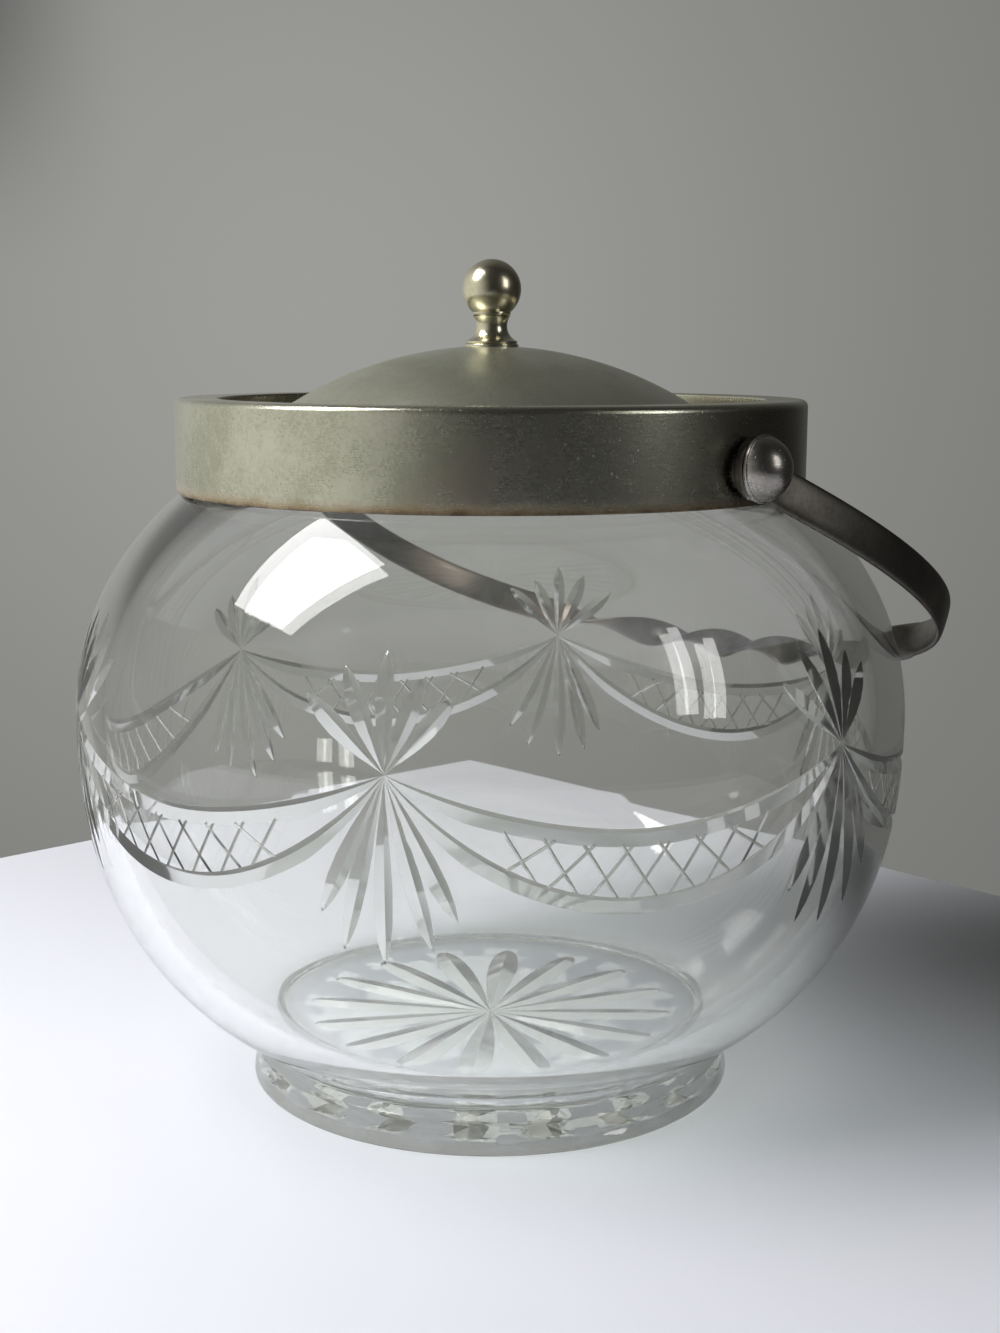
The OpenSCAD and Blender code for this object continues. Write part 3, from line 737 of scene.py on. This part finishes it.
ring_angle = fan_turn + np.radians(np.arange(360) - 180.0 / fans)
rings = [np.stack((r * np.sin(ring_angle[::step]), -r * np.cos(ring_angle[::step])), 1)
         for r, step in ((foot_r - foot_edge, 1), (40, 4), (35, 4), (28, 8), (20, 8), (10, 12),
                         (3, 12), (1.5, 24))]
star_lines = [line for ray in rays
              for line in leaf_lines(ray, star_r, star_half_width, star_root, star_tip, steps=14)]
flat, faces, facet = mesh_plan(np.concatenate(rings), star_lines, star_depths)
x, y = flat[:, 0], flat[:, 1]
sunk = np.clip(star_depths(x, y).min(1).max(0), 0, None)
dx, dy = facet_slopes(star_depths, x[faces], y[faces], facet)
normals = np.stack((dx, dy, 0 * dx - 1), -1)
normals /= np.linalg.norm(normals, axis=-1, keepdims=True)
patches.append((np.stack((x, y, sunk), 1), faces[:, ::-1], normals[:, ::-1]))
star_cut = (facet >= 0).astype(float)
smooth_faces = sum(len(p[1]) for p in patches[fans:-1])
cut = np.concatenate(cut + [np.zeros(smooth_faces), star_cut])

clear = bpy.data.materials.new("clear_cut_glass")
clear.use_nodes = True
recipe = Recipe(clear.node_tree)
is_cut = recipe.node("ShaderNodeAttribute", {"attribute_name": "cut"}, {}, "Fac")
place = recipe.node("ShaderNodeTexCoord", {}, {}, "Object")
height = recipe.node("ShaderNodeSeparateXYZ", {}, {"Vector": place}, "Z")
sideways = recipe.node("ShaderNodeVectorMath", {"operation": "MULTIPLY"},
                       {0: place, 1: (1, 1, 0)})
from_axis = recipe.node("ShaderNodeVectorMath", {"operation": "LENGTH"}, {0: sideways}, "Value")
in_foot = from_axis.step(0.041, 0.046) * (1 - height.step(0.006, 0.011))
foot_tint = recipe.mix(in_foot, (0.985, 0.99, 0.975, 1), (0.58, 0.57, 0.49, 1))
glass = recipe.node("ShaderNodeBsdfPrincipled", {}, {
    "Base Color": foot_tint, "Roughness": 0.02, "IOR": 1.52, "Transmission Weight": 1.0})
ground = recipe.node("ShaderNodeBsdfPrincipled", {}, {
    "Base Color": (0.96, 0.97, 0.88, 1), "Roughness": 0.65, "IOR": 1.52,
    "Transmission Weight": 1.0})
surface = recipe.node("ShaderNodeMixShader", {}, {0: is_cut * 0.45, 1: glass, 2: ground})
floor_shadow = recipe.node("ShaderNodeBsdfTransparent", {}, {"Color": (0.95, 0.95, 0.93, 1)})
wall_shadow = recipe.node("ShaderNodeBsdfTransparent", {}, {"Color": (0.76, 0.78, 0.77, 1)})
shadow = recipe.node("ShaderNodeMixShader", {},
                     {0: height.step(0.010, 0.020), 1: floor_shadow, 2: wall_shadow})
is_shadow = recipe.node("ShaderNodeLightPath", {}, {}, "Is Shadow Ray")
either = recipe.node("ShaderNodeMixShader", {}, {0: is_shadow, 1: surface, 2: shadow})
recipe.node("ShaderNodeOutputMaterial", {}, {"Surface": either})
fit(build("cut_glass_bowl", patches, cut), "jar", clear, "cut_glass", "glass_bowl")


# --- Plaster bed ----------------------------------------------------------------------------
# Plaster of Paris, poured in round the neck, holds the rim on the glass. It is dull and
# greyish white, with fine pores.
plaster = bpy.data.materials.new("old_plaster")
plaster.use_nodes = True
recipe = Recipe(plaster.node_tree)
place = recipe.node("ShaderNodeTexCoord", {}, {}, "Object")
pores = recipe.noise(place, 700, 4.0, 0.7)
colour = recipe.mix(pores, (0.42, 0.40, 0.36, 1), (0.66, 0.64, 0.58, 1))
bump = recipe.node("ShaderNodeBump", {}, {"Height": pores, "Distance": 0.0004, "Strength": 0.6})
surface = recipe.node("ShaderNodeBsdfPrincipled", {}, {
    "Base Color": colour, "Roughness": 0.9, "Normal": bump})
recipe.node("ShaderNodeOutputMaterial", {}, {"Surface": surface})
nodes["plaster_bed"].data.materials.clear()
nodes["plaster_bed"].data.materials.append(plaster)


# --- Rim collar -----------------------------------------------------------------------------
# A spun band of silver-plated nickel, with a rolled upper edge, a flat flange and a sunk
# ledge for the lid. The plate is worn and tarnished, darkest along the lower edge.
def plated(name, bright, dull, roughness=0.20, stained_below=None, grain=1.0):
    """Worn plate: bright metal under a mottled dull film, with fine scratches and pits.
    stained_below is the height of a lower edge, in metres, along which brown stains creep up.
    Such a piece is also darker towards the viewer's right, round its right pivot: partly wear from
    hands, partly painted shade for the dark side of the room that the metal mirrors there."""
    finish = bpy.data.materials.new(name)
    finish.use_nodes = True
    recipe = Recipe(finish.node_tree)
    place = recipe.node("ShaderNodeTexCoord", {}, {}, "Object")
    clouds = recipe.noise(place, 55, 5.0, 0.62)
    speckle = recipe.noise(place, 1500, 2.0, 0.6)
    blotches = recipe.noise(place, 28, 3.0, 0.5)
    film = (clouds * 0.75 + speckle * 0.25).step(0.36, 0.66)
    colour = recipe.mix(film, bright, dull)
    colour = recipe.mix(blotches.step(0.50, 0.68) * 0.5, colour, (0.44, 0.36, 0.30, 1))
    pits = recipe.noise(place, 2600, 1.0).step(0.70, 0.80)
    colour = recipe.mix(pits * 0.35, colour, (0.10, 0.09, 0.07, 1))
    stain = 0
    if stained_below is not None:
        height = recipe.node("ShaderNodeSeparateXYZ", {}, {"Vector": place}, "Z")
        creep = height - stained_below - 0.0022 * recipe.noise(place, 160, 4.0, 0.7)
        stain = 1 - creep.step(-0.0010, 0.0016)
        colour = recipe.mix(stain * 0.85, colour, (0.20, 0.125, 0.05, 1))
        dark = 1 - creep.step(-0.0016, -0.0002)
        colour = recipe.mix(dark * 0.9, colour, (0.03, 0.022, 0.015, 1))
        on_band = 1 - (height - stained_below).step(0.0160, 0.0174)
        # Painted shade: the band darkens towards the viewer's right, partly wear from hands at the
        # right pivot, partly the dark side of the room that the metal mirrors there.
        wear_and_painted_shade = recipe.dot(place, RIGHT).step(0.030, 0.050) * on_band
        colour = recipe.mix(wear_and_painted_shade * 0.75, colour, (0.14, 0.11, 0.09, 1))
    brushed = recipe.noise(place, 420, 3.0, 0.6, stretch=(1, 1, 9))
    relief = brushed * 0.5 + speckle * 0.5 - pits
    bump = recipe.node("ShaderNodeBump", {}, {
        "Height": relief, "Distance": 0.00004 * grain, "Strength": 0.5})
    surface = recipe.node("ShaderNodeBsdfPrincipled", {}, {
        "Base Color": colour, "Metallic": 1.0 - 0.5 * stain,
        "Roughness": roughness + 0.06 * film + 0.08 * brushed, "Normal": bump})
    recipe.node("ShaderNodeOutputMaterial", {}, {"Surface": surface})
    return finish


roll_r = 1.3
seat_r = 52.2
ledge_width = 2.7
ledge_r = seat_r - ledge_width
lip_r = 0.4
silver_light = (0.62, 0.61, 0.50, 1)
silver_dull = (0.40, 0.40, 0.30, 1)
worn_silver = plated("worn_silver_plate", silver_light, silver_dull, stained_below=collar_foot * MM)
collar_skin = lathe(
    rounded((collar_r - sheet / 2, collar_foot, 0), (collar_r, collar_foot, 0.3),
            (collar_r, flange, roll_r), (seat_r, flange, lip_r), (seat_r, seat, 0.3),
            (ledge_r, seat, 0.35), (ledge_r, seat - sheet, 0.35),
            (seat_r + sheet, seat - sheet, 0.3), (seat_r + sheet, flange - sheet, 0.2),
            (collar_r - sheet, flange - sheet, 0.5), (collar_r - sheet, collar_foot, 0.3),
            (collar_r - sheet / 2, collar_foot, 0)))
fit(build("spun_rim_collar", collar_skin), "jar", worn_silver, "worn_silver_plate", "rim_collar")


# --- Pivots ---------------------------------------------------------------------------------
# On each side a turned stud with a domed head passes through the handle's eye, a soldered
# boss and the band, and is riveted over a burr inside.
pivot_rise = 6.7
pivot_height = collar_foot + pivot_rise
head_x = 63.3
head_r = 5.95
head_rim = 0.9
head_dome = 4.3
head_step = 0.3
shank_r = 2.0
burr_x = 57.4
head_cap_r = ((head_r - head_step) ** 2 + head_dome ** 2) / (2 * head_dome)
head_half_angle = math.degrees(math.asin((head_r - head_step) / head_cap_r))
head_edge = head_x + head_rim
stud_run = (rounded((0, burr_x, 0), (shank_r, burr_x, 0.2), (shank_r, head_x, 0.15),
                    (head_r, head_x, 0.35), (head_r, head_edge, 0.3),
                    (head_r - head_step, head_edge, 0)),
            arc((0, head_edge + head_dome - head_cap_r), head_cap_r,
                90 - head_half_angle, 90, 24))


def turned(patches, rows, height):
    """Turns patches by a matrix, given by its rows, and lifts them to a height."""
    turn = np.array(rows, float).T
    return [(points @ turn + (0, 0, height), faces, normals @ turn)
            for points, faces, normals in patches]


def to_side(patches, way, height):
    """Lays what was turned round the Z axis along X, out to the right (1) or to the left (-1)."""
    return turned(patches, ((0, 0, way), (0, 1, 0), (-way, 0, 0)), height)


dark_plate = plated("dark_plate", (0.15, 0.14, 0.125, 1), (0.08, 0.072, 0.06, 1), 0.30)
stud_plate = plated("stud_plate", (0.40, 0.38, 0.35, 1), (0.26, 0.24, 0.215, 1), 0.22)
for way, name in ((1, "right"), (-1, "left")):
    fit(build(f"domed_stud_{name}", to_side(lathe(*stud_run, columns=96), way, pivot_height)),
        "jar", stud_plate, "worn_silver_plate", f"pivot_stud_{name}")
    for node in (f"pivot_boss_{name}", f"stud_burr_{name}"):
        nodes[node].data.materials.clear()
        nodes[node].data.materials.append(dark_plate)


# --- Swing handle ---------------------------------------------------------------------------
# One strap of plated brass, flat in its legs, twisted through four half turns in the grip,
# and ending in an eye over each stud. It hangs just clear of the glass.
strap_width = 7.5
strap_thickness = 1.5
strap_crown = 2.8
eye_r = 5.5
eye_thickness = 1.7
eye_x = 61.3
strap_x = eye_x + eye_thickness / 2
eye_play = 0.06
eye_hole_r = shank_r + eye_play
leg_start = 6.25
eye_pull = 5.0
leg_spread = 7.0
leg_drop = 42.0
grip_tuck = 7.5
hang_angle = math.radians(28)
grip_gap = 0.8
handle_reach = (bowl_r + grip_gap + strap_width / 2) / math.cos(hang_angle)
half_turns = 4
twist_length = 106.0
twist_ease = 0.35


def leg(t):
    """The strap's middle line from the stud (t = 0) to the grip's middle (t = 1): a Bezier curve
    with five anchors."""
    anchors = np.array(((strap_x, leg_start), (strap_x, leg_start + eye_pull),
                        (bowl_r + leg_spread, handle_reach - leg_drop),
                        (bowl_r - grip_tuck, handle_reach), (0, handle_reach)))
    share = np.array([math.comb(4, k) * (1 - t) ** (4 - k) * t ** k for k in range(5)])
    return share.T @ anchors


in_eye = 3.4
half = np.concatenate((np.linspace((strap_x, in_eye), (strap_x, leg_start), 5)[:-1],
                       leg(np.linspace(0, 1, 150))))
line = np.concatenate((half, half[-2::-1] * (-1, 1)))
tangent = np.gradient(line, axis=0)
tangent /= np.linalg.norm(tangent, axis=1, keepdims=True)
aside = np.stack((-tangent[:, 1], tangent[:, 0]), 1)
share = np.clip(0.5 - line[:, 0] / twist_length, 0, 1)
twist = np.pi * half_turns * (share - twist_ease * np.sin(2 * np.pi * share) / (2 * np.pi))
turn = np.linspace(0, 2 * np.pi, 33)
q = strap_thickness / 2 * np.sign(np.cos(turn)) * np.abs(np.cos(turn)) ** (2 / strap_crown)
w = strap_width / 2 * np.sign(np.sin(turn)) * np.abs(np.sin(turn)) ** (2 / strap_crown)
sin, cos = np.sin(twist)[:, None], np.cos(twist)[:, None]
shift = w * sin + q * cos
strap = np.stack((line[:, :1] + aside[:, :1] * shift, line[:, 1:] + aside[:, 1:] * shift,
                  w * cos - q * sin), -1)
strap[:, -1] = strap[:, 0]
along = np.gradient(strap, axis=0)
round_it = np.roll(strap[:, :-1], -1, 1) - np.roll(strap[:, :-1], 1, 1)
round_it = np.concatenate((round_it, round_it[:, :1]), 1)
strap_normals = np.cross(round_it, along)
strap_normals /= np.linalg.norm(strap_normals, axis=-1, keepdims=True)


def strap_end(ring):
    """A flat cap over an end of the strap, in triangles from its middle. It faces the stud."""
    points = np.concatenate((ring[:-1], ring[:-1].mean(0, keepdims=True)))
    n = len(ring) - 1
    faces = np.stack((np.arange(n), (np.arange(n) + 1) % n, 0 * np.arange(n) + n), 1)
    return points, faces, np.broadcast_to((0.0, -1.0, 0.0), (n, 3, 3)).copy()


handle_patches = [skin(strap, strap_normals), strap_end(strap[0, ::-1]), strap_end(strap[-1])]
eye = lathe(rounded((eye_hole_r, strap_x, 0), (eye_hole_r, eye_x, 0.2), (eye_r, eye_x, 0.3),
                    (eye_r, eye_x + eye_thickness, 0.3), (eye_hole_r, eye_x + eye_thickness, 0.2),
                    (eye_hole_r, strap_x, 0)), columns=96)
handle_patches += to_side(eye, 1, 0) + to_side(eye, -1, 0)

# All this lies in the handle's own plane, and is tilted down to where the handle hangs
cos, sin = math.cos(hang_angle), math.sin(hang_angle)
hung = turned(handle_patches, ((1, 0, 0), (0, cos, sin), (0, -sin, cos)), pivot_height)
fit(build("twisted_strap_handle", hung), "handle", dark_plate, "dark_plate", "swing_handle")


# --- Lid ------------------------------------------------------------------------------------
# A spun dome of the same plated sheet, with a flat land for the knob, a hollow flare and a
# flat brim that lies in the rim's ledge. A ring under the brim centres it.
brim_gap, seat_gap = 0.6, 0.1
brim_r = seat_r - brim_gap
brim = seat + seat_gap
brim_top = brim + sheet
lid_rise = 12.9
land = brim_top + lid_rise
land_r = 5.5
dome_r = 72.8
flare_r = 20.0
dome_z = land - math.sqrt(dome_r ** 2 - land_r ** 2)
flare_z = brim_top + flare_r
flare_x = math.sqrt((dome_r + flare_r) ** 2 - (flare_z - dome_z) ** 2)
flare_angle = math.degrees(math.atan2(flare_z - dome_z, flare_x))
under = land - sheet
under_dome_r = dome_r - sheet
under_angle = math.asin((under - dome_z) / under_dome_r)
land_angle = math.degrees(math.acos(land_r / dome_r))
stud_hole_r = 1.55
lid_skin = lathe(
    np.concatenate((arc((0, dome_z), under_dome_r, math.degrees(under_angle), flare_angle, 40),
                    arc((flare_x, flare_z), flare_r + sheet, flare_angle + 180, 270, 24)[1:],
                    rounded((flare_x + 0.5, brim, 0), (brim_r, brim, 0.35),
                            (brim_r, brim_top, 0.35), (flare_x + 0.5, brim_top, 0)),
                    arc((flare_x, flare_z), flare_r, 270, flare_angle + 180, 24),
                    arc((0, dome_z), dome_r, flare_angle, land_angle, 40)[1:])),
    np.array(((land_r, land), (stud_hole_r, land))),
    np.array(((stud_hole_r, land), (stud_hole_r, under))),
    np.array(((stud_hole_r, under), (under_dome_r * math.cos(under_angle), under))))
lid_silver = plated("lid_silver_plate", (0.68, 0.68, 0.58, 1), (0.50, 0.51, 0.39, 1), 0.32)
fit(build("spun_lid", lid_skin), "lid", lid_silver, "worn_silver_plate", "lid_dome")

bezel_gap = 0.5
bezel_r = ledge_r - bezel_gap
bezel_height = 5.0
bezel_low = brim - bezel_height
bezel_skin = lathe(
    rounded((bezel_r, brim - 1, 0), (bezel_r, brim, 0.1), (bezel_r - sheet, brim, 0.1),
            (bezel_r - sheet, bezel_low, 0.35), (bezel_r, bezel_low, 0.35), (bezel_r, brim - 1, 0)))
fit(build("locating_ring", bezel_skin), "lid", lid_silver, "worn_silver_plate", "lid_bezel")


# --- Knob -----------------------------------------------------------------------------------
# A turned brass ball on a bead, a hollow neck and a flared foot, with most of its silver
# rubbed off. Its stud goes through the lid to a washer and a nut, over a thin bright ring.
base_ring_height = 0.6
base_ring_r = 5.2
knob_base = land + base_ring_height
foot_radius = 4.95
foot_height = 0.5
neck_radius = 3.0
neck_rise = 3.4
bead_r = 0.7
bead_reach = 3.65
bead_rise = 5.8
bead_low, bead_high = -50, 60
ball_r = 5.65
ball_rise = 10.3
screw_r = 1.5
hollow_drop = neck_rise - foot_height
hollow_x = ((foot_radius ** 2 - neck_radius ** 2 + hollow_drop ** 2)
            / (2 * (foot_radius - neck_radius)))
hollow_r = hollow_x - neck_radius
hollow_low = 180 + math.degrees(math.asin(hollow_drop / hollow_r))
hollow_high = 180 - math.degrees(math.asin((bead_rise - bead_r * 0.75 - neck_rise) / hollow_r))
bead_x = bead_reach - bead_r
ball_low = -math.degrees(math.acos(bead_x / ball_r))
screw_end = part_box("knob")[0].z / MM
knob_skin = lathe(
    rounded((0, screw_end, 0), (screw_r, screw_end, 0.3), (screw_r, knob_base, 0)),
    rounded((screw_r, knob_base, 0), (foot_radius, knob_base, 0.2),
            (foot_radius, knob_base + foot_height, 0)),
    arc((hollow_x, knob_base + neck_rise), hollow_r, hollow_low, hollow_high, 20),
    arc((bead_x, knob_base + bead_rise), bead_r, bead_low, bead_high, 14),
    arc((0, knob_base + ball_rise), ball_r, ball_low, 90, 60),
    columns=192)
knob_brass = plated("rubbed_knob", (0.80, 0.76, 0.58, 1), (0.62, 0.58, 0.42, 1), 0.16, grain=0.4)
fit(build("ball_knob", knob_skin), "lid", knob_brass, "warm_plate", "knob")
ring_skin = lathe(rounded((stud_hole_r, land + 0.3, 0), (stud_hole_r, land, 0.05),
                          (base_ring_r, land, 0.05), (base_ring_r, knob_base, 0.25),
                          (stud_hole_r, knob_base, 0.05), (stud_hole_r, land + 0.3, 0)),
                  columns=192)
fit(build("bright_ring", ring_skin), "lid", knob_brass, "warm_plate", "knob_base_ring")
for node in ("knob_washer", "knob_nut"):
    nodes[node].data.materials.clear()
    nodes[node].data.materials.append(knob_brass)
